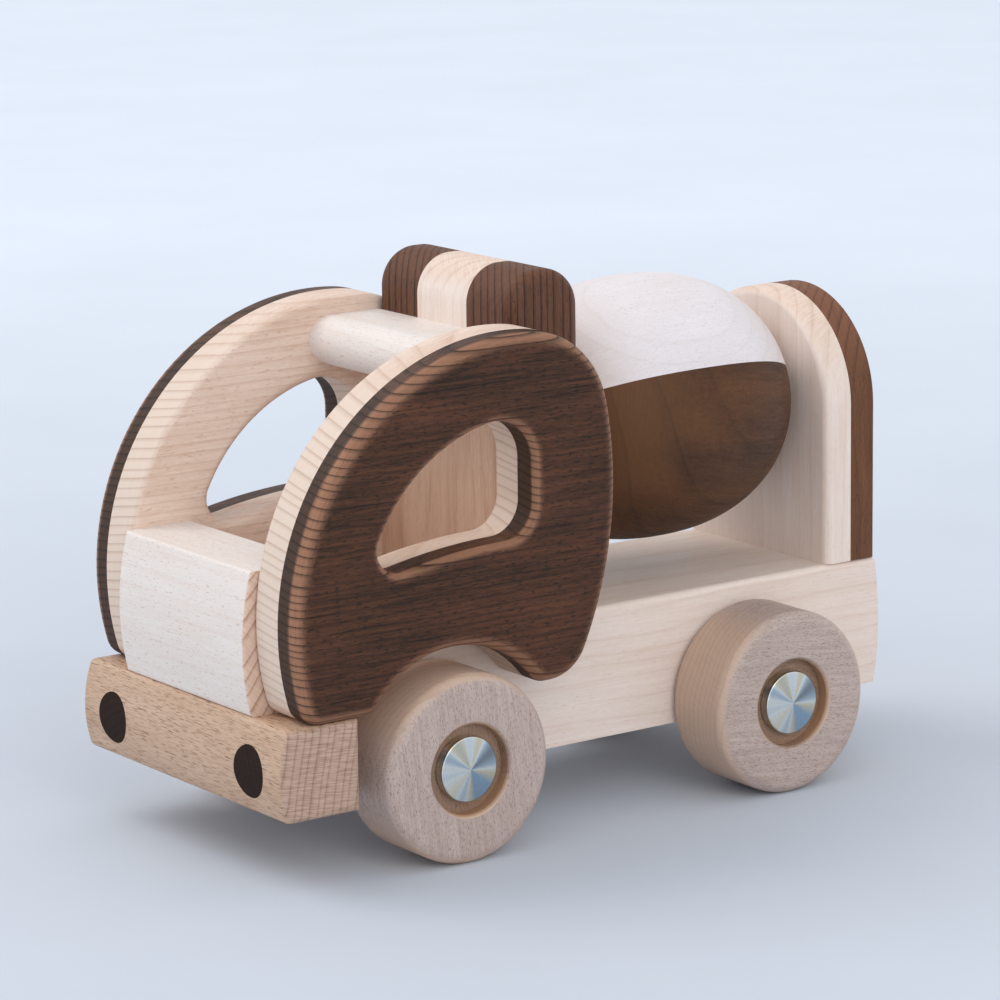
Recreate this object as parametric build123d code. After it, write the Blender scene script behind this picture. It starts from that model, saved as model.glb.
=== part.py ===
from build123d import *
import os
from math import sqrt

# Wooden toy cement mixer truck, in millimetres.
# +X is forward, +Y is the truck's left side, +Z is up. The origin is on the floor, under the middle
# of the truck. Light pieces are maple, wheels and bumper are beech, dark pieces are heat-treated ash.

# ---------------------------------------------------------------- chassis
chassis_half_width = 26.5
chassis_bottom_z = 16.5
chassis_top_z = 47.7
chassis_front_x = 70.95
chassis_rear_x = -90.15
chassis_rear_bulge = 1.45
chassis_top_round = 1.6
chassis_edge_round = 1.0

# ---------------------------------------------------------------- wheels and axles
wheel_radius = 21.75
wheel_width = 18.8
wheel_gap = 0.6
wheel_outer_round = 2.6
wheel_inner_round = 2.0
hub_recess_radius = 10.4
hub_recess_depth = 3.4
hub_recess_chamfer = 0.7
front_axle_x = 43.75
wheelbase = 92.5
rod_radius = 3.0
rod_clearance = 0.08
rod_end_chamfer = 0.4
cap_radius = 7.5
cap_rim_height = 2.2
cap_dome_height = 0.6
cap_shoulder_radius = 3.75
cap_shoulder_height = 0.35
cap_edge_round = 0.4
cap_floor_gap = 0.4
cap_crown_thickness = 0.9

axle_z = wheel_radius
rear_axle_x = front_axle_x - wheelbase
wheel_inner_y = chassis_half_width + wheel_gap
wheel_outer_y = wheel_inner_y + wheel_width
recess_floor_y = wheel_outer_y - hub_recess_depth
cap_base_y = recess_floor_y + cap_floor_gap
cap_socket_depth = cap_rim_height + cap_dome_height - cap_crown_thickness
rod_end_y = cap_base_y + cap_socket_depth

# ---------------------------------------------------------------- bumper and hood
bumper_half_width = 42.5
bumper_top_z = 37.3
bumper_top_x = 89.35
bumper_mid_x = 91.6
bumper_bottom_x = 89.95
bumper_round = 1.5
headlight_radius = 6.0
headlight_y = 29.0
headlight_z = 26.1
headlight_depth = 12.0
hood_top_z = 69.9
hood_top_x = 87.95
hood_mid_x = 90.55
hood_bottom_x = 88.75
hood_round = 0.8

# ---------------------------------------------------------------- cab sides
cab_inner_thickness = 9.7
cab_outer_thickness = 7.3
cab_arc_x = 27.35
cab_arc_z = 57.4
cab_arc_radius = 60.3
cab_bottom_z = bumper_top_z
cab_rear_arc_x = 90.15
cab_rear_arc_z = 82.0
cab_rear_arc_radius = 90.0
cab_top_rear_round = 22.0
cab_rear_lobe_round = 11.0
cab_front_bottom_round = 5.0
wheel_arch_x = 44.75
wheel_arch_radius = 27.4
wheel_arch_lip_round = 4.0
cab_outer_edge_round = 3.6
cab_inner_edge_round = 1.5
window_arc_radius = 41.8
window_rear_x = 23.2
window_sill_z = 71.5
window_sill_arc_x = 28.7
window_sill_arc_radius = 150.0
window_rear_round = 7.8
window_top_round = 10.0
window_front_round = 5.5
window_edge_round = 2.4

# ---------------------------------------------------------------- cab back wall, roof and beacon
wall_front_x = 17.95
wall_thickness = 20.0
wall_top_z = 101.9
wall_round = 0.8
roof_thickness = 11.6
roof_front_x = 37.15
beacon_top_z = 127.9
beacon_top_round = 9.0
beacon_end_round = 3.0
beacon_seam_y = 9.8

wall_rear_x = wall_front_x - wall_thickness
roof_top_z = wall_top_z + roof_thickness

# ---------------------------------------------------------------- rear arch
arch_front_x = -74.75
arch_board_thickness = 7.5
arch_crown_z = 112.0
arch_front_round = 2.0
arch_rear_round = 1.0

arch_seam_x = arch_front_x - arch_board_thickness

# ---------------------------------------------------------------- drum
drum_centre_x = -37.75
drum_half_length = 33.95
drum_radius = 31.5
drum_long_semi_axis = 38.0
drum_fullness = 2.27
drum_profile_points = 17
drum_end_round = 2.5
drum_axis_z = 87.4
drum_seam_tilt = 25.0
drum_dowel_radius = 4.0
drum_dowel_clearance = 0.08
drum_dowel_seat = 10.0
drum_dowel_end_gap = 0.5

# ---------------------------------------------------------------- modelling allowances
plane_tolerance = 0.001
cutter_overshoot = 1.0


def box(x_low, x_high, y_low, y_high, z_low, z_high):
    """A box between two corners."""
    block = Box(x_high - x_low, y_high - y_low, z_high - z_low)
    centre = ((x_low + x_high) / 2, (y_low + y_high) / 2, (z_low + z_high) / 2)
    return Pos(*centre) * block


def rod_along_y(x, z, radius, y_low, y_high):
    """A round bar parallel to Y."""
    bar = Rot(90, 0, 0) * Cylinder(radius, y_high - y_low)
    return Pos(x, (y_low + y_high) / 2, z) * bar


def rod_along_x(y, z, radius, x_low, x_high):
    """A round bar parallel to X."""
    bar = Rot(0, 90, 0) * Cylinder(radius, x_high - x_low)
    return Pos((x_low + x_high) / 2, y, z) * bar


def plate(side_face, y_low, y_high):
    """A face drawn in sketch axes (X, Z), made into a plate from y_low to y_high."""
    upright = Plane.XZ.offset(-y_high) * side_face
    return extrude(upright, amount=y_high - y_low, dir=(0, -1, 0))


def disc(x, z, radius):
    """A circle in sketch axes (X, Z)."""
    return Pos(x, z) * Circle(radius)


def panel(x_low, x_high, z_low, z_high):
    """A rectangle in sketch axes (X, Z)."""
    centre = Pos((x_low + x_high) / 2, (z_low + z_high) / 2)
    return centre * Rectangle(x_high - x_low, z_high - z_low)


def edges_in_plane(solid, axis, position):
    """The edges that lie wholly in one plane square to an axis."""
    low = position - plane_tolerance
    high = position + plane_tolerance
    return solid.edges().filter_by_position(axis, low, high)


def edges_above(edges, z):
    """The edges whose middle is higher than z."""
    return ShapeList(edge for edge in edges if (edge @ 0.5).Z > z + plane_tolerance)


def single(shape):
    """The one solid in a shape."""
    return shape.solids()[0]


def save(name, shape):
    """One node, as one STEP file."""
    solid = single(shape)
    solid.label = name
    export_step(solid, f"parts/{name}.step")


# ---------------------------------------------------------------- cab side outlines
def nearest_vertex(face, x, z):
    """The corner of a face nearest to a point."""
    return face.vertices().sort_by_distance(Vector(x, z, 0))[0]


def circle_side_x(centre_x, centre_z, radius, z, side):
    """Where a circle crosses a height, on its front (+1) or rear (-1) side."""
    return centre_x + side * sqrt(radius**2 - (z - centre_z) ** 2)


def cab_outline():
    """A big round front and roof, a gently bowed rear edge, and the wheel arch below."""
    front = disc(cab_arc_x, cab_arc_z, cab_arc_radius)
    rear = disc(cab_rear_arc_x, cab_rear_arc_z, cab_rear_arc_radius)
    above = panel(
        cab_arc_x - cab_arc_radius,
        cab_arc_x + cab_arc_radius,
        cab_bottom_z,
        cab_arc_z + cab_arc_radius,
    )
    face = front & rear & above
    rear_bottom_x = circle_side_x(
        cab_rear_arc_x, cab_rear_arc_z, cab_rear_arc_radius, cab_bottom_z, -1
    )
    front_bottom_x = circle_side_x(cab_arc_x, cab_arc_z, cab_arc_radius, cab_bottom_z, 1)
    top_rear = face.vertices().sort_by(Axis.Y)[-1]
    face = fillet(top_rear, cab_top_rear_round)
    face = fillet(nearest_vertex(face, rear_bottom_x, cab_bottom_z), cab_rear_lobe_round)
    face = fillet(nearest_vertex(face, front_bottom_x, cab_bottom_z), cab_front_bottom_round)
    face = face - disc(wheel_arch_x, axle_z, wheel_arch_radius)
    for side in (-1, 1):
        lip_x = circle_side_x(wheel_arch_x, axle_z, wheel_arch_radius, cab_bottom_z, side)
        face = fillet(nearest_vertex(face, lip_x, cab_bottom_z), wheel_arch_lip_round)
    return face


def window_outline():
    """A D-shaped window: its arc follows the cab's, and its sill droops gently to the front."""
    inside = panel(
        window_rear_x,
        cab_arc_x + window_arc_radius,
        cab_arc_z,
        cab_arc_z + window_arc_radius,
    )
    sill = disc(window_sill_arc_x, window_sill_z - window_sill_arc_radius, window_sill_arc_radius)
    face = (disc(cab_arc_x, cab_arc_z, window_arc_radius) & inside) - sill
    face = fillet(face.vertices().sort_by(Axis.Y)[-1], window_top_round)
    face = fillet(nearest_vertex(face, window_rear_x, window_sill_z), window_rear_round)
    return fillet(face.vertices().sort_by(Axis.X)[-1], window_front_round)


def rim_edges(board, y, opening):
    """A board's edges in one face, as two lists: those around an opening, and the rest."""
    size = opening.bounding_box()
    around = ShapeList()
    outline = ShapeList()
    for edge in edges_in_plane(board, Axis.Y, y):
        middle = edge @ 0.5
        inside_x = size.min.X - cutter_overshoot < middle.X < size.max.X + cutter_overshoot
        inside_z = size.min.Z - cutter_overshoot < middle.Z < size.max.Z + cutter_overshoot
        if inside_x and inside_z:
            around.append(edge)
        else:
            outline.append(edge)
    return around, outline


def round_board(board, y, opening, outline_round):
    """Round a board's outline and its window where they meet the face at y."""
    around, _ = rim_edges(board, y, opening)
    board = single(fillet(around, window_edge_round))
    _, outline = rim_edges(board, y, opening)
    return single(fillet(outline, outline_round))


def cab_side(side):
    """The light inner and dark outer board of one cab side; side is +1 on the left."""
    wall = cab_outline() - window_outline()
    seam = chassis_half_width + cab_inner_thickness
    skin = seam + cab_outer_thickness
    window = plate(window_outline(), chassis_half_width, skin)
    inner = single(plate(wall, chassis_half_width, seam))
    outer = single(plate(wall, seam, skin))
    inner = round_board(inner, chassis_half_width, window, cab_inner_edge_round)
    outer = round_board(outer, skin, window, cab_outer_edge_round)
    if side < 0:
        inner = mirror(inner, about=Plane.XZ)
        outer = mirror(outer, about=Plane.XZ)
    return inner, outer


# ---------------------------------------------------------------- chassis, bumper and hood
def bowed_profile(back_x, bottom, middle, top):
    """A block's side view: straight at back_x, and an arc through three (x, z) points opposite."""
    arc = ThreePointArc(bottom, middle, top)
    rest = Polyline(top, (back_x, top[1]), (back_x, bottom[1]), bottom)
    return make_face(arc + rest)


def chassis():
    """The one-piece chassis block, bowed at the rear and bored for both axles."""
    middle_z = (chassis_bottom_z + chassis_top_z) / 2
    side_view = bowed_profile(
        chassis_front_x,
        (chassis_rear_x, chassis_bottom_z),
        (chassis_rear_x - chassis_rear_bulge, middle_z),
        (chassis_rear_x, chassis_top_z),
    )
    block = single(plate(side_view, -chassis_half_width, chassis_half_width))
    long_edges = block.edges().filter_by(Axis.X)
    top_edges = long_edges.group_by(Axis.Z)[-1]
    block = single(fillet(top_edges, chassis_top_round))
    rear_edges = block.faces().sort_by(Axis.X)[0].edges()
    block = single(fillet(rear_edges, chassis_edge_round))
    bore_radius = rod_radius + rod_clearance
    for axle_x in (front_axle_x, rear_axle_x):
        bore = rod_along_y(axle_x, axle_z, bore_radius, -chassis_half_width, chassis_half_width)
        block = block - bore
    return block


def bumper_and_headlights():
    """The bumper block with its bowed front, and the dark plugs set flush into that front."""
    side_view = bowed_profile(
        chassis_front_x,
        (bumper_bottom_x, chassis_bottom_z),
        (bumper_mid_x, (chassis_bottom_z + bumper_top_z) / 2),
        (bumper_top_x, bumper_top_z),
    )
    block = single(plate(side_view, -bumper_half_width, bumper_half_width))
    front = block.faces().sort_by(Axis.X)[-1]
    block = single(fillet(front.edges(), bumper_round))
    ends = block.faces().filter_by(Axis.Y)
    end_edges = ShapeList(edge for end in ends for edge in end.edges())
    block = single(fillet(end_edges, bumper_round))
    plugs = {}
    for name, side in (("left", 1), ("right", -1)):
        hole = rod_along_x(
            side * headlight_y,
            headlight_z,
            headlight_radius,
            bumper_mid_x - headlight_depth,
            bumper_mid_x + cutter_overshoot,
        )
        plugs[f"headlight_plug_{name}"] = block & hole
        block = block - hole
    return block, plugs


def hood():
    """The hood block, which stands on the bumper against the chassis."""
    side_view = bowed_profile(
        chassis_front_x,
        (hood_bottom_x, bumper_top_z),
        (hood_mid_x, (bumper_top_z + hood_top_z) / 2),
        (hood_top_x, hood_top_z),
    )
    block = single(plate(side_view, -chassis_half_width, chassis_half_width))
    front = block.faces().sort_by(Axis.X)[-1]
    return fillet(front.edges(), hood_round)


# ---------------------------------------------------------------- back wall, roof board and beacon
def back_wall():
    """The upright block that closes the back of the cab and carries the drum's dowel."""
    wall = box(
        wall_rear_x,
        wall_front_x,
        -chassis_half_width,
        chassis_half_width,
        chassis_top_z,
        wall_top_z,
    )
    rear_edges = wall.faces().sort_by(Axis.X)[0].edges().filter_by(Axis.Z)
    wall = fillet(rear_edges, wall_round)
    seat = rod_along_x(
        0,
        drum_axis_z,
        drum_dowel_radius,
        wall_rear_x - cutter_overshoot,
        wall_rear_x + drum_dowel_seat,
    )
    return wall - seat


def roof_board():
    """The board across the roof, from the beacon bar forward, with a half-round front edge."""
    nose_radius = roof_thickness / 2
    nose_x = roof_front_x - nose_radius
    flat = panel(wall_front_x, nose_x, wall_top_z, roof_top_z)
    nose = disc(nose_x, wall_top_z + nose_radius, nose_radius)
    return plate(flat + nose, -chassis_half_width, chassis_half_width)


def beacon_blocks():
    """The bar on the back wall, rounded along its top and at its ends, as three glued blocks."""
    bar = box(
        wall_rear_x,
        wall_front_x,
        -chassis_half_width,
        chassis_half_width,
        wall_top_z,
        beacon_top_z,
    )
    top_edges = bar.edges().filter_by(Axis.Y).group_by(Axis.Z)[-1]
    bar = single(fillet(top_edges, beacon_top_round))
    ends = bar.faces().filter_by(Axis.Y)
    end_edges = edges_above((edge for end in ends for edge in end.edges()), wall_top_z)
    bar = single(fillet(end_edges, beacon_end_round))
    cuts = {
        "left": (beacon_seam_y, chassis_half_width),
        "centre": (-beacon_seam_y, beacon_seam_y),
        "right": (-chassis_half_width, -beacon_seam_y),
    }
    blocks = {}
    for name, (y_low, y_high) in cuts.items():
        slab = box(wall_rear_x, wall_front_x, y_low, y_high, wall_top_z, beacon_top_z)
        blocks[f"beacon_block_{name}"] = bar & slab
    return blocks


# ---------------------------------------------------------------- rear arch
def arch_board(x_front, round_front, edge_round):
    """An upright board with a half-round top, rounded where one face meets its rim."""
    crown_radius = chassis_half_width
    crown_z = arch_crown_z - crown_radius
    x_rear = x_front - arch_board_thickness
    upright = box(x_rear, x_front, -crown_radius, crown_radius, chassis_top_z, crown_z)
    board = single(upright + rod_along_x(0, crown_z, crown_radius, x_rear, x_front))
    face_x = x_front if round_front else x_rear
    rim = edges_above(edges_in_plane(board, Axis.X, face_x), chassis_top_z)
    return single(fillet(rim, edge_round))


def rear_arch():
    """The light front board and the dark rear board of the arch behind the drum."""
    light = arch_board(arch_front_x, True, arch_front_round)
    dark = arch_board(arch_seam_x, False, arch_rear_round)
    light = light - rod_along_x(0, drum_axis_z, drum_dowel_radius, arch_seam_x, arch_front_x)
    return light, dark


# ---------------------------------------------------------------- drum
def drum_profile_radius(offset):
    """The drum's radius at a distance from its middle: an oval a little fuller than an ellipse."""
    share = abs(offset / drum_long_semi_axis) ** drum_fullness
    return drum_radius * (1 - share) ** (1 / drum_fullness)


def drum_halves():
    """The turned egg-shaped drum, glued from a light and a dark half and bored for its dowel."""
    bore_radius = drum_dowel_radius + drum_dowel_clearance
    step = 2 * drum_half_length / (drum_profile_points - 1)
    offsets = [index * step - drum_half_length for index in range(drum_profile_points)]
    curve = [(drum_centre_x + offset, drum_profile_radius(offset)) for offset in offsets]
    start = drum_centre_x - drum_half_length
    end = drum_centre_x + drum_half_length
    rest = Polyline(curve[-1], (end, bore_radius), (start, bore_radius), curve[0])
    section = make_face(Spline(*curve) + rest)
    body = revolve(Plane.XZ * section, Axis.X)
    for end_x in (start, end):
        rim = edges_in_plane(body, Axis.X, end_x).sort_by(SortBy.LENGTH)[-1]
        body = fillet(rim, drum_end_round)
    body = Pos(0, 0, drum_axis_z) * body
    reach = 2 * drum_radius
    slab = Box(2 * reach, 2 * reach, reach)
    tilt = Pos(drum_centre_x, 0, drum_axis_z) * Rot(drum_seam_tilt, 0, 0)
    light = body & (tilt * Pos(0, 0, reach / 2) * slab)
    dark = body & (tilt * Pos(0, 0, -reach / 2) * slab)
    return light, dark


def drum_dowel():
    """The fixed dowel that the drum turns on, seated in the back wall and in the arch."""
    start = arch_seam_x + drum_dowel_end_gap
    end = wall_rear_x + drum_dowel_seat - drum_dowel_end_gap
    return rod_along_x(0, drum_axis_z, drum_dowel_radius, start, end)


# ---------------------------------------------------------------- wheels, axle rods and caps
def turned(profile, x, side):
    """A section in (radius, y) turned about a wheel's centre line, on one side of the truck."""
    solid = revolve(profile, Axis.Y)
    if side < 0:
        solid = mirror(solid, about=Plane.XZ)
    return Pos(x, 0, axle_z) * solid


def wheel(x, side):
    """A thick turned wheel with soft rims and a recessed hub."""
    bore_radius = rod_radius + rod_clearance
    section = make_face(
        Polyline(
            (bore_radius, wheel_inner_y),
            (wheel_radius, wheel_inner_y),
            (wheel_radius, wheel_outer_y),
            (hub_recess_radius, wheel_outer_y),
            (hub_recess_radius, recess_floor_y),
            (bore_radius, recess_floor_y),
            close=True,
        )
    )
    outer_rim = nearest_vertex(section, wheel_radius, wheel_outer_y)
    section = fillet(outer_rim, wheel_outer_round)
    inner_rim = nearest_vertex(section, wheel_radius, wheel_inner_y)
    section = fillet(inner_rim, wheel_inner_round)
    recess_lip = nearest_vertex(section, hub_recess_radius, wheel_outer_y)
    section = chamfer(recess_lip, hub_recess_chamfer)
    return turned(section, x, side)


def axle_cap(x, side):
    """A turned metal cap: a low rim, a very shallow domed face, and a socket for the rod."""
    rim_top_y = cap_base_y + cap_rim_height
    apex_y = rim_top_y + cap_dome_height
    shoulder = (cap_shoulder_radius, rim_top_y + cap_shoulder_height)
    dome = ThreePointArc((0, apex_y), shoulder, (cap_radius, rim_top_y))
    rest = Polyline(
        (cap_radius, rim_top_y),
        (cap_radius, cap_base_y),
        (rod_radius, cap_base_y),
        (rod_radius, rod_end_y),
        (0, rod_end_y),
        (0, apex_y),
    )
    section = make_face(dome + rest)
    shoulder_corner = nearest_vertex(section, cap_radius, rim_top_y)
    section = fillet(shoulder_corner, cap_edge_round)
    return turned(section, x, side)


def axle_rod(x):
    """A plain steel rod from cap to cap."""
    rod = rod_along_y(x, axle_z, rod_radius, -rod_end_y, rod_end_y)
    return chamfer(rod.edges().filter_by(GeomType.CIRCLE), rod_end_chamfer)


# ---------------------------------------------------------------- write one STEP file per piece
os.makedirs("parts", exist_ok=True)

save("chassis_block", chassis())
bumper, headlight_plugs = bumper_and_headlights()
save("bumper_block", bumper)
for plug_name, plug in headlight_plugs.items():
    save(plug_name, plug)
save("hood_block", hood())

for side_name, side_sign in (("left", 1), ("right", -1)):
    inner_board, outer_board = cab_side(side_sign)
    save(f"cab_side_{side_name}_inner", inner_board)
    save(f"cab_side_{side_name}_outer", outer_board)

save("cab_back_wall", back_wall())
save("roof_board", roof_board())
for block_name, block in beacon_blocks().items():
    save(block_name, block)

light_board, dark_board = rear_arch()
save("rear_arch_front_board", light_board)
save("rear_arch_rear_board", dark_board)

light_half, dark_half = drum_halves()
save("drum_light_half", light_half)
save("drum_dark_half", dark_half)
save("drum_dowel", drum_dowel())

for end_name, axle_x in (("front", front_axle_x), ("rear", rear_axle_x)):
    save(f"axle_rod_{end_name}", axle_rod(axle_x))
    for side_name, side_sign in (("left", 1), ("right", -1)):
        save(f"wheel_{end_name}_{side_name}", wheel(axle_x, side_sign))
        save(f"axle_cap_{end_name}_{side_name}", axle_cap(axle_x, side_sign))
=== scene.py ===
from math import cos, radians, sin

import bpy
from mathutils import Matrix, Vector


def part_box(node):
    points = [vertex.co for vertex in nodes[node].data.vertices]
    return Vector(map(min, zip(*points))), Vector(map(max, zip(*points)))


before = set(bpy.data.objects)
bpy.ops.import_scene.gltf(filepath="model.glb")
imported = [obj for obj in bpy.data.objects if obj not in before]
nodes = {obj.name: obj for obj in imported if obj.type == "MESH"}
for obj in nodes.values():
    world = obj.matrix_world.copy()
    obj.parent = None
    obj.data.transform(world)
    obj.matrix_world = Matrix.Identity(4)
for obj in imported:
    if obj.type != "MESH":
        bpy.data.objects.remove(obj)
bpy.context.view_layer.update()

MM = 0.001

# wood grain, in millimetres
SEED_SHIFT = 61.0            # how far apart along the fibres two pieces' grain is taken
RING_BEND = 9.0              # how far the growth rings wander sideways
RING_UNEVENNESS = 2.2        # how many rings the spacing may gain or lose
PORE_DEPTH = 0.08

# painted shade in the wheel recesses, and metal
RECESS_SHADE_RADIUS = 10.9
RECESS_SHADE_TINT = (0.72, 0.58, 0.44)
TURNED_RING_DEPTH = 0.02

# studio, in metres and watts
FLOOR_HALF_WIDTH = 6.0
LIGHT_AIM = (0, 0, 0.05)
LIGHT_COLOUR = (1.0, 0.985, 0.97)
SKY_COLOUR = (0.90, 0.92, 0.95, 1.0)
SKY_STRENGTH = 0.92


# ------------------------------------------------------------------ node helpers
class Tree:
    """A short way to build one material's node tree."""

    def __init__(self, name, material=None):
        self.material = material or bpy.data.materials.new(name)
        self.material.use_nodes = True
        self.nodes = self.material.node_tree.nodes
        self.links = self.material.node_tree.links
        if material is None:
            self.nodes.clear()
            output = self.nodes.new("ShaderNodeOutputMaterial")
            shader = self.nodes.new("ShaderNodeBsdfPrincipled")
            self.links.new(shader.outputs[0], output.inputs["Surface"])
        self.shader = next(node for node in self.nodes if node.type == "BSDF_PRINCIPLED")
        self.coords = self.nodes.new("ShaderNodeTexCoord")

    def feed(self, socket, value):
        """Puts a constant or another node's output into a socket."""
        if isinstance(value, bpy.types.NodeSocket):
            self.links.new(value, socket)
        elif value is not None:
            socket.default_value = value

    def math(self, operation, a, b=None, c=None, clamp=False):
        node = self.nodes.new("ShaderNodeMath")
        node.operation = operation
        node.use_clamp = clamp
        for socket, value in zip(node.inputs, (a, b, c)):
            self.feed(socket, value)
        return node.outputs[0]

    def vector(self, operation, a, b=None, scale=None):
        node = self.nodes.new("ShaderNodeVectorMath")
        node.operation = operation
        self.feed(node.inputs[0], a)
        if b is not None:
            self.feed(node.inputs[1], b)
        if scale is not None:
            self.feed(node.inputs["Scale"], scale)
        return node.outputs["Value" if operation in ("DOT_PRODUCT", "LENGTH") else "Vector"]

    def combine(self, x, y, z):
        node = self.nodes.new("ShaderNodeCombineXYZ")
        for socket, value in zip(node.inputs, (x, y, z)):
            self.feed(socket, value)
        return node.outputs[0]

    def noise(self, place, scale=1.0, detail=2.0, rough=0.5):
        node = self.nodes.new("ShaderNodeTexNoise")
        self.feed(node.inputs["Vector"], place)
        node.inputs["Scale"].default_value = scale
        node.inputs["Detail"].default_value = detail
        node.inputs["Roughness"].default_value = rough
        return node

    def ramp(self, value, stops, mode="LINEAR"):
        """A colour ramp; each stop is (position, colour or grey level)."""
        node = self.nodes.new("ShaderNodeValToRGB")
        node.color_ramp.interpolation = mode
        elements = node.color_ramp.elements
        while len(elements) < len(stops):
            elements.new(0.5)
        for element, (position, colour) in zip(elements, stops):
            element.position = position
            if not hasattr(colour, "__len__"):
                colour = (colour, colour, colour)
            element.color = (*colour[:3], 1.0)
        self.feed(node.inputs[0], value)
        return node.outputs[0]

    def mix(self, amount, a, b, blend="MIX"):
        node = self.nodes.new("ShaderNodeMix")
        node.data_type = "RGBA"
        node.blend_type = blend
        self.feed(node.inputs[0], amount)
        for socket, value in ((node.inputs[6], a), (node.inputs[7], b)):
            if isinstance(value, tuple) and len(value) == 3:
                value = (*value, 1.0)
            self.feed(socket, value)
        return node.outputs[2]

    def bump(self, height, strength, distance):
        node = self.nodes.new("ShaderNodeBump")
        node.inputs["Strength"].default_value = strength
        node.inputs["Distance"].default_value = distance
        self.feed(node.inputs["Height"], height)
        return node.outputs[0]


def linear(red, green, blue):
    """A colour given in 0 to 255 display values, as linear light."""
    def channel(value):
        value /= 255
        return value / 12.92 if value <= 0.04045 else ((value + 0.055) / 1.055) ** 2.4
    return (channel(red), channel(green), channel(blue))


# ------------------------------------------------------------------ wood
class Wood:
    """Colours and grain of one kind of wood. Lengths are in millimetres."""

    def __init__(self, light, dark, end_light, end_dark, fleck, ring_step=2.4, ring=0.3,
                 end_ring=0.8, fibre=0.3, blotch=0.3, rays=0.25, flecks=0.4,
                 fleck_size=(0.28, 2.4, 0.6), fleck_cut=0.62, deep=0.0, painted_edge_light=0.0,
                 shine=0.4, roughness=(0.42, 0.6), bump=0.2):
        self.light, self.dark, self.fleck = light, dark, fleck
        self.end_light, self.end_dark = end_light, end_dark
        self.ring_step, self.ring, self.end_ring = ring_step, ring, end_ring
        self.fibre, self.blotch, self.rays = fibre, blotch, rays
        self.flecks, self.fleck_size, self.fleck_cut = flecks, fleck_size, fleck_cut
        self.deep, self.painted_edge_light = deep, painted_edge_light
        self.shine, self.roughness, self.bump = shine, roughness, bump


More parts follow.
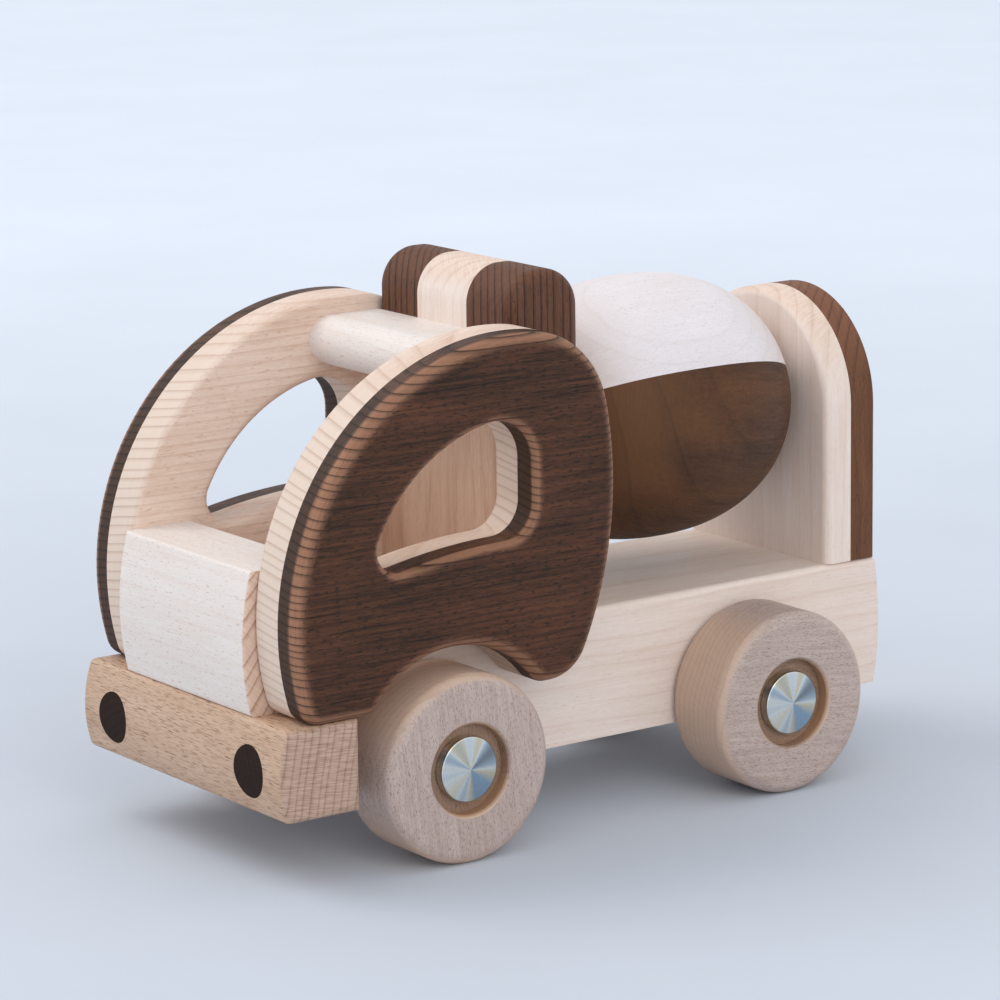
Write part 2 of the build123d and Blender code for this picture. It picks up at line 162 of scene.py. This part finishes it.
def wood_material(name, kind, grain, radial, pith, seed=0.0, wander=1.0):
    """Solid wood grain through a piece.

    grain is the direction the fibres run, radial the direction out of the tree, and pith how far
    the tree's centre is from the row's origin along radial, in millimetres.
    """
    tree = Tree(name)
    grain = Vector(grain).normalized()
    radial = (Vector(radial) - grain * Vector(radial).dot(grain)).normalized()
    across = grain.cross(radial)
    place = tree.vector("SCALE", tree.coords.outputs["Object"], scale=1 / MM)
    along = tree.math("ADD", tree.vector("DOT_PRODUCT", place, tuple(grain)), SEED_SHIFT * seed)
    out = tree.math("SUBTRACT", tree.vector("DOT_PRODUCT", place, tuple(radial)), pith)
    side = tree.vector("DOT_PRODUCT", place, tuple(across))

    def streaks(out_step, side_step, along_step, detail, rough):
        """Noise stretched along the fibres; the steps are its grain size in millimetres."""
        stretched = tree.combine(
            tree.math("DIVIDE", out, out_step),
            tree.math("DIVIDE", side, side_step),
            tree.math("DIVIDE", along, along_step),
        )
        return tree.noise(stretched, detail=detail, rough=rough).outputs[0]

    # growth rings, bending slowly along the tree and across it; each ends in a thin dark line
    bend = streaks(33.0, 33.0, 80.0, 2.0, 0.45)
    bent = tree.math("MULTIPLY_ADD", bend, RING_BEND * wander, out)
    reach = tree.vector("LENGTH", tree.combine(bent, side, 0.0))
    uneven = tree.noise(tree.combine(tree.math("MULTIPLY", reach, 0.11), seed, 0.0),
                        detail=3.0, rough=0.6)
    count = tree.math("DIVIDE", reach, kind.ring_step)
    count = tree.math("MULTIPLY_ADD", uneven.outputs[0], RING_UNEVENNESS, count)
    phase = tree.math("FRACT", count)
    ring = tree.ramp(phase, [(0.0, 0.7), (0.07, 0.05), (0.62, 0.0), (0.88, 0.4), (1.0, 1.0)])

    # fibres: long thin streaks, coarse and fine
    streak = tree.math("ADD", tree.math("MULTIPLY", streaks(0.8, 0.8, 17.0, 3.0, 0.6), 0.55),
                       tree.math("MULTIPLY", streaks(0.2, 0.2, 2.2, 2.0, 0.65), 0.45))
    streak = tree.ramp(streak, [(0.36, 0.0), (0.64, 1.0)])
    blotch = tree.ramp(streaks(11.0, 11.0, 50.0, 2.0, 0.5), [(0.3, 0.0), (0.7, 1.0)])

    # where the surface cuts across the fibres it is end grain, with rays across the rings
    facing = tree.vector("DOT_PRODUCT", tree.coords.outputs["Normal"], tuple(grain))
    facing = tree.math("ABSOLUTE", facing)
    end = tree.ramp(facing, [(0.2, 0.0), (0.75, 1.0)], "EASE")
    flatness = tree.vector("DOT_PRODUCT", tree.coords.outputs["Normal"], tuple(across))
    flatness = tree.math("ABSOLUTE", flatness)
    # painted highlight: the rounded edges of the boards take the lighter end-grain colour,
    # standing in for the light they catch
    if kind.painted_edge_light:
        painted_edge_light = tree.ramp(flatness, [(0.1, 0.0), (0.35, kind.painted_edge_light), (0.82, 0.8 * kind.painted_edge_light),
                                    (1.0, 0.0)])
        end = tree.math("MAXIMUM", end, painted_edge_light)
    ray = tree.ramp(streaks(5.0, 0.32, 5.0, 2.0, 0.6), [(0.42, 0.0), (0.62, 1.0)])

    # flecks: short dark dashes, the open pores and the ends of the rays
    thick, length, depth = kind.fleck_size
    fleck = tree.ramp(streaks(depth, thick, length, 1.0, 0.4),
                      [(kind.fleck_cut, 0.0), (kind.fleck_cut + 0.07, 1.0)])
    fleck = tree.math("MULTIPLY", fleck, tree.math("SUBTRACT", 1.0, end))

    tone = tree.math("MULTIPLY", streak, kind.fibre)
    tone = tree.math("MULTIPLY_ADD", blotch, kind.blotch, tone)
    tone = tree.math("MULTIPLY_ADD", ring, kind.ring, tone, clamp=True)
    face_colour = tree.mix(tone, kind.light, kind.dark)
    end_tone = tree.math("MULTIPLY", ray, kind.rays)
    end_tone = tree.math("MULTIPLY_ADD", ring, kind.end_ring, end_tone, clamp=True)
    end_colour = tree.mix(end_tone, kind.end_light, kind.end_dark)
    colour = tree.mix(end, face_colour, end_colour)
    # square-cut end faces, such as the window reveals and the flat rims, are darkened to the fleck
    # colour: partly the darker end grain, partly painted shade
    if kind.deep:
        square_end_dark_and_shade = tree.math("MULTIPLY", tree.ramp(facing, [(0.3, 0.0), (0.6, 1.0)]),
                               tree.ramp(flatness, [(0.06, kind.deep), (0.26, 0.0)]))
        colour = tree.mix(square_end_dark_and_shade, colour, kind.fleck)
    colour = tree.mix(tree.math("MULTIPLY", fleck, kind.flecks), colour, kind.fleck)
    tree.feed(tree.shader.inputs["Base Color"], colour)

    tree.shader.inputs["Specular IOR Level"].default_value = kind.shine
    low, high = kind.roughness
    rough = tree.math("MULTIPLY_ADD", streak, high - low, low)
    rough = tree.math("MULTIPLY_ADD", end, 0.1, rough)
    tree.feed(tree.shader.inputs["Roughness"], rough)
    height = tree.math("SUBTRACT", tree.math("MULTIPLY", streak, 0.5),
                       tree.math("MULTIPLY", fleck, 0.8))
    height = tree.math("SUBTRACT", height, tree.math("MULTIPLY", ring, 0.3))
    tree.feed(tree.shader.inputs["Normal"], tree.bump(height, kind.bump, PORE_DEPTH * MM))
    return tree.material


maple = Wood(light=linear(235, 228, 224), dark=linear(218, 200, 186),
             end_light=linear(226, 198, 178), end_dark=linear(168, 126, 102),
             fleck=linear(170, 142, 120), ring_step=2.6, ring=0.2, end_ring=0.9, fibre=0.3,
             flecks=0.4, fleck_size=(0.2, 1.5, 0.6), fleck_cut=0.63, blotch=0.2, bump=0.15)
calm_maple = Wood(light=linear(242, 229, 220), dark=linear(218, 192, 174),
                  end_light=linear(230, 208, 192), end_dark=linear(186, 150, 128),
                  fleck=linear(192, 164, 142), ring_step=3.6, ring=0.25, end_ring=0.35, fibre=0.35,
                  flecks=0.25, fleck_size=(0.2, 1.5, 0.6), fleck_cut=0.66, blotch=0.3, bump=0.12)
pale_maple = Wood(light=linear(231, 225, 228), dark=linear(212, 200, 198),
                  end_light=linear(222, 210, 206), end_dark=linear(190, 170, 160),
                  fleck=linear(178, 162, 158), ring_step=3.4, ring=0.2, end_ring=0.2, fibre=0.3,
                  flecks=0.4, fleck_size=(0.2, 1.0, 0.5), fleck_cut=0.63, blotch=0.2, bump=0.15)
beech = Wood(light=linear(242, 224, 210), dark=linear(208, 174, 152),
             end_light=linear(226, 206, 190), end_dark=linear(166, 130, 106),
             fleck=linear(176, 136, 108), ring_step=2.1, ring=0.35, end_ring=0.55, fibre=0.45,
             rays=0.06, flecks=0.3, fleck_size=(0.22, 2.0, 0.6), fleck_cut=0.64, blotch=0.45)
wall_beech = Wood(light=linear(228, 198, 174), dark=linear(196, 158, 132),
                  end_light=linear(214, 186, 164), end_dark=linear(166, 130, 106),
                  fleck=linear(160, 122, 96), ring_step=2.3, ring=0.3, end_ring=0.6, fibre=0.5,
                  flecks=0.3, fleck_size=(0.22, 2.0, 0.6), fleck_cut=0.64, blotch=0.35)
bumper_beech = Wood(light=linear(208, 178, 153), dark=linear(180, 144, 116),
                    end_light=linear(194, 164, 146), end_dark=linear(130, 98, 78),
                    fleck=linear(122, 84, 58), ring_step=2.0, ring=0.2, end_ring=0.55, fibre=0.35,
                    rays=0.5, flecks=0.8, fleck_size=(0.14, 3.0, 0.5), fleck_cut=0.58,
                    blotch=0.3, bump=0.25)
wheel_beech = Wood(light=linear(200, 182, 174), dark=linear(164, 142, 132),
                   end_light=linear(206, 178, 158), end_dark=linear(156, 122, 98),
                   fleck=linear(116, 90, 74), ring_step=1.8, ring=0.15, end_ring=0.3, fibre=0.65,
                   rays=0.12, flecks=0.6, fleck_size=(0.17, 0.8, 0.3), fleck_cut=0.6,
                   blotch=0.15, bump=0.3)
dark_ash = Wood(light=linear(98, 59, 37), dark=linear(37, 22, 14),
                end_light=linear(160, 116, 90), end_dark=linear(52, 33, 25),
                fleck=linear(30, 20, 16), ring_step=1.8, ring=0.3, end_ring=1.0, fibre=0.65,
                rays=0.15, flecks=0.7, fleck_size=(0.15, 1.8, 0.5), fleck_cut=0.59, blotch=0.4,
                deep=0.85, painted_edge_light=0.95, shine=0.25, roughness=(0.42, 0.6), bump=0.35)
beacon_ash = Wood(light=linear(114, 73, 52), dark=linear(38, 24, 18),
                  end_light=linear(106, 68, 48), end_dark=linear(40, 25, 18),
                  fleck=linear(26, 16, 12), ring_step=1.7, ring=0.9, end_ring=0.9, fibre=0.35,
                  rays=0.2, flecks=0.6, fleck_size=(0.15, 1.8, 0.5), blotch=0.15,
                  shine=0.25, roughness=(0.42, 0.6), bump=0.35)
red_ash = Wood(light=linear(120, 78, 50), dark=linear(74, 45, 29),
               end_light=linear(128, 84, 62), end_dark=linear(64, 40, 29),
               fleck=linear(44, 27, 20), ring_step=2.4, ring=0.4, end_ring=0.6, fibre=0.45,
               flecks=0.5, fleck_size=(0.15, 1.8, 0.5), shine=0.25, bump=0.3)
drum_ash = Wood(light=linear(100, 63, 36), dark=linear(30, 18, 10),
                end_light=linear(100, 64, 37), end_dark=linear(44, 27, 15),
                fleck=linear(34, 22, 15), ring_step=7.0, ring=0.22, end_ring=0.25, fibre=0.3,
                rays=0.1, flecks=0.35, fleck_size=(0.15, 1.5, 0.5), fleck_cut=0.62, blotch=0.55,
                shine=0.25, roughness=(0.42, 0.6), bump=0.2)
dark_plug = Wood(light=linear(48, 35, 30), dark=linear(26, 18, 15),
                 end_light=linear(46, 33, 27), end_dark=linear(24, 17, 13),
                 fleck=linear(12, 9, 8), ring_step=1.6, ring=0.4, end_ring=0.5, fibre=0.5,
                 flecks=0.5, shine=0.12, roughness=(0.6, 0.75), bump=0.3)

X, Y, Z = Vector((1, 0, 0)), Vector((0, 1, 0)), Vector((0, 0, 1))


def dress(node, material):
    """Gives a CAD node one material, over all its slots."""
    data = nodes[node].data
    data.materials.clear()
    data.materials.append(material)
    for face in data.polygons:
        face.material_index = 0


def wood_piece(node, kind, grain, radial, pith, seed, wander=1.0):
    dress(node, wood_material("wood_" + node, kind, grain, radial, pith, seed, wander))


def shade_wheel_recess(node, recess_radius, shade_tint):
    """Paints shade into a wheel's wood inside its turned recess, by multiplying its colour with a
    tint.
    """
    material = nodes[node].data.materials[0]
    tree = Tree(material.name, material)
    low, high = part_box(node)
    place = tree.vector("SUBTRACT", tree.coords.outputs["Object"], tuple((low + high) / 2))
    radius = tree.vector("LENGTH", tree.vector("MULTIPLY", place, (1.0, 0.0, 1.0)))
    inside = tree.ramp(tree.math("DIVIDE", radius, recess_radius), [(0.97, 1.0), (1.0, 0.0)])
    plain_colour = tree.shader.inputs["Base Color"].links[0].from_socket
    colour = tree.mix(inside, plain_colour, tree.mix(1.0, plain_colour, shade_tint, "MULTIPLY"))
    tree.feed(tree.shader.inputs["Base Color"], colour)


wood_piece("chassis_block", calm_maple, X, Z + 0.5 * Y, -60, 1.0)
wood_piece("hood_block", maple, Y, X + Z, -160, 2.0, 0.4)
wood_piece("cab_back_wall", wall_beech, Z, X + 0.4 * Y, -60, 3.0)
wood_piece("roof_board", maple, Y, X + Z, -40, 4.0)
wood_piece("beacon_block_centre", calm_maple, Z, Y + 0.6 * X, -160, 5.0, 0.4)
wood_piece("beacon_block_left", beacon_ash, Z, X - 0.8 * Y, -400, 6.0, 0.2)
wood_piece("beacon_block_right", beacon_ash, Z, X - 0.9 * Y, -430, 7.0, 0.2)
wood_piece("bumper_block", bumper_beech, Y, X + 0.1 * Z, -160, 8.0, 0.3)
wood_piece("headlight_plug_left", dark_plug, X, Y, -20, 9.0)
wood_piece("headlight_plug_right", dark_plug, X, Z, -20, 9.5)
wood_piece("rear_arch_front_board", calm_maple, Z, X + 0.3 * Y, -40, 10.0)
wood_piece("rear_arch_rear_board", red_ash, Z, Y + 0.3 * X, -60, 11.0)
wood_piece("drum_light_half", pale_maple, X, Z + Y, -60, 12.0)
wood_piece("drum_dark_half", drum_ash, (0.93, 0.33, 0.16), (-0.13, -0.10, 0.99), 84, 13.0, 0.5)
wood_piece("drum_dowel", beech, X, Z, -20, 14.0)
for side, sign in (("left", 1), ("right", -1)):
    wood_piece(f"cab_side_{side}_inner", beech, X, Z + 0.1 * sign * Y, -400, 15.0 + sign, 0.2)
    wood_piece(f"cab_side_{side}_outer", dark_ash, X, Z, -160, 18.0 + sign, 0.5)
for index, name in enumerate(("front_left", "front_right", "rear_left", "rear_right")):
    angle = 1.45 + 0.9 * index
    grain = Vector((cos(angle), 0, sin(angle)))
    wood_piece("wheel_" + name, wheel_beech, grain, Y + 0.4 * grain.cross(Y), -70, 20.0 + index)
    shade_wheel_recess("wheel_" + name, RECESS_SHADE_RADIUS * MM, RECESS_SHADE_TINT)


# ------------------------------------------------------------------ metal
def cap_material(node):
    """Bright zinc plate with fine turned rings about the cap's own centre, its colour painted with
    light and dark reflection sectors round that centre.
    """
    tree = Tree("metal_" + node)
    low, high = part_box(node)
    centre = (low + high) / 2
    place = tree.vector("SUBTRACT", tree.coords.outputs["Object"], tuple(centre))
    place = tree.vector("SCALE", place, scale=1 / MM)
    flat = tree.vector("MULTIPLY", place, (1.0, 0.0, 1.0))
    radius = tree.vector("LENGTH", flat)
    rings = tree.noise(tree.combine(tree.math("MULTIPLY", radius, 9.0), 0.0, 0.0), detail=3.0,
                       rough=0.7)
    # painted reflection: light and dark sectors round the centre, some bluish and some warm, are
    # painted into the colour
    reflection_sectors = tree.noise(tree.vector("NORMALIZE", flat), scale=0.8, detail=0.8, rough=0.5)
    colour = tree.ramp(reflection_sectors.outputs[0], [
        (0.34, linear(128, 138, 146)), (0.44, linear(168, 184, 196)), (0.5, linear(214, 220, 220)),
        (0.55, linear(206, 198, 172)), (0.64, linear(150, 174, 194))])
    tree.feed(tree.shader.inputs["Base Color"], colour)
    tree.shader.inputs["Metallic"].default_value = 1.0
    tree.feed(tree.shader.inputs["Roughness"],
              tree.math("MULTIPLY_ADD", rings.outputs[0], 0.16, 0.2))
    tree.shader.inputs["Anisotropic"].default_value = 0.85
    tangent = tree.nodes.new("ShaderNodeTangent")
    tangent.direction_type = "RADIAL"
    tangent.axis = "Y"
    tree.feed(tree.shader.inputs["Tangent"], tangent.outputs[0])
    tree.feed(tree.shader.inputs["Normal"],
              tree.bump(rings.outputs[0], 0.25, TURNED_RING_DEPTH * MM))
    return tree.material


def rod_material():
    """Drawn steel, seen only at the cut ends and in the small gaps by the wheels."""
    tree = Tree("metal_axle_rod")
    place = tree.vector("SCALE", tree.coords.outputs["Object"], scale=1 / MM)
    streaks = tree.noise(tree.vector("MULTIPLY", place, (3.0, 0.15, 3.0)), detail=3.0)
    colour = tree.ramp(streaks.outputs[0], [
        (0.3, linear(150, 150, 152)), (0.7, linear(190, 191, 194))])
    tree.feed(tree.shader.inputs["Base Color"], colour)
    tree.shader.inputs["Metallic"].default_value = 1.0
    tree.feed(tree.shader.inputs["Roughness"],
              tree.math("MULTIPLY_ADD", streaks.outputs[0], 0.2, 0.25))
    tree.feed(tree.shader.inputs["Normal"],
              tree.bump(streaks.outputs[0], 0.15, TURNED_RING_DEPTH * MM))
    return tree.material


steel = rod_material()
for end in ("front", "rear"):
    dress("axle_rod_" + end, steel)
    for side in ("left", "right"):
        node = f"axle_cap_{end}_{side}"
        dress(node, cap_material(node))


# ------------------------------------------------------------------ floor, light and camera
def floor():
    """A wide pale floor with a faint cloth-like mottle, painted darker towards its middle where
    the truck stands.
    """
    half = FLOOR_HALF_WIDTH
    mesh = bpy.data.meshes.new("floor")
    corners = [(-half, -half, 0), (half, -half, 0), (half, half, 0), (-half, half, 0)]
    mesh.from_pydata(corners, [], [(0, 1, 2, 3)])
    surface = bpy.data.objects.new("floor", mesh)
    bpy.context.scene.collection.objects.link(surface)
    tree = Tree("floor_pale")
    place = tree.coords.outputs["Object"]
    mottle = tree.noise(place, scale=9.0, detail=4.0, rough=0.55)
    colour = tree.ramp(mottle.outputs[0], [
        (0.3, linear(218, 226, 238)), (0.7, linear(222, 230, 242))])
    # painted shade: darker towards the middle of the floor, under and around the truck
    shade = tree.ramp(tree.vector("LENGTH", place), [(0.15, 0.8), (0.9, 1.0)])
    colour = tree.mix(1.0, colour, shade, "MULTIPLY")
    tree.feed(tree.shader.inputs["Base Color"], colour)
    tree.shader.inputs["Roughness"].default_value = 0.85
    mesh.materials.append(tree.material)


def area_light(name, place, size, power):
    """A soft round lamp aimed at the truck."""
    light = bpy.data.lights.new(name, "AREA")
    light.shape = "DISK"
    light.size = size
    light.energy = power
    light.color = LIGHT_COLOUR
    lamp = bpy.data.objects.new(name, light)
    lamp.location = place
    lamp.rotation_mode = "QUATERNION"
    lamp.rotation_quaternion = (Vector(LIGHT_AIM) - Vector(place)).to_track_quat("-Z", "Y")
    bpy.context.scene.collection.objects.link(lamp)


def camera():
    """The view from ahead of the truck's left side, a little above it."""
    azimuth, elevation, roll = radians(54.526), radians(12.151), radians(-0.804)
    distance, right_shift, up_shift = 0.99664, 0.03273, 0.07377
    focal_px, image_px = 4303.5, 1000
    back = Vector((cos(elevation) * cos(azimuth), cos(elevation) * sin(azimuth), sin(elevation)))
    level = Z.cross(back).normalized()
    upright = back.cross(level)
    right = cos(roll) * level + sin(roll) * upright
    up = cos(roll) * upright - sin(roll) * level
    axle_low, axle_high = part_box("axle_rod_front")
    base = Vector(((axle_low.x + axle_high.x) / 2, 0, 0))
    data = bpy.data.cameras.new("camera")
    data.sensor_width = 36.0
    data.lens = focal_px / image_px * data.sensor_width
    view = bpy.data.objects.new("camera", data)
    turn = Matrix((right, up, back)).transposed()
    view.matrix_world = Matrix.Translation(
        base + right * right_shift + up * up_shift + back * distance
    ) @ turn.to_4x4()
    bpy.context.scene.collection.objects.link(view)
    bpy.context.scene.camera = view


def sky():
    """Even pale light from all round."""
    world = bpy.data.worlds.new("studio")
    world.use_nodes = True
    background = world.node_tree.nodes["Background"]
    background.inputs[0].default_value = SKY_COLOUR
    background.inputs[1].default_value = SKY_STRENGTH
    bpy.context.scene.world = world


floor()
sky()
area_light("key", place=(2.1, -2.25, 3.9), size=3.3, power=74.0)
area_light("fill", place=(0.8, 3.2, 1.8), size=2.8, power=30.0)
camera()
bpy.context.scene.view_settings.view_transform = "Standard"
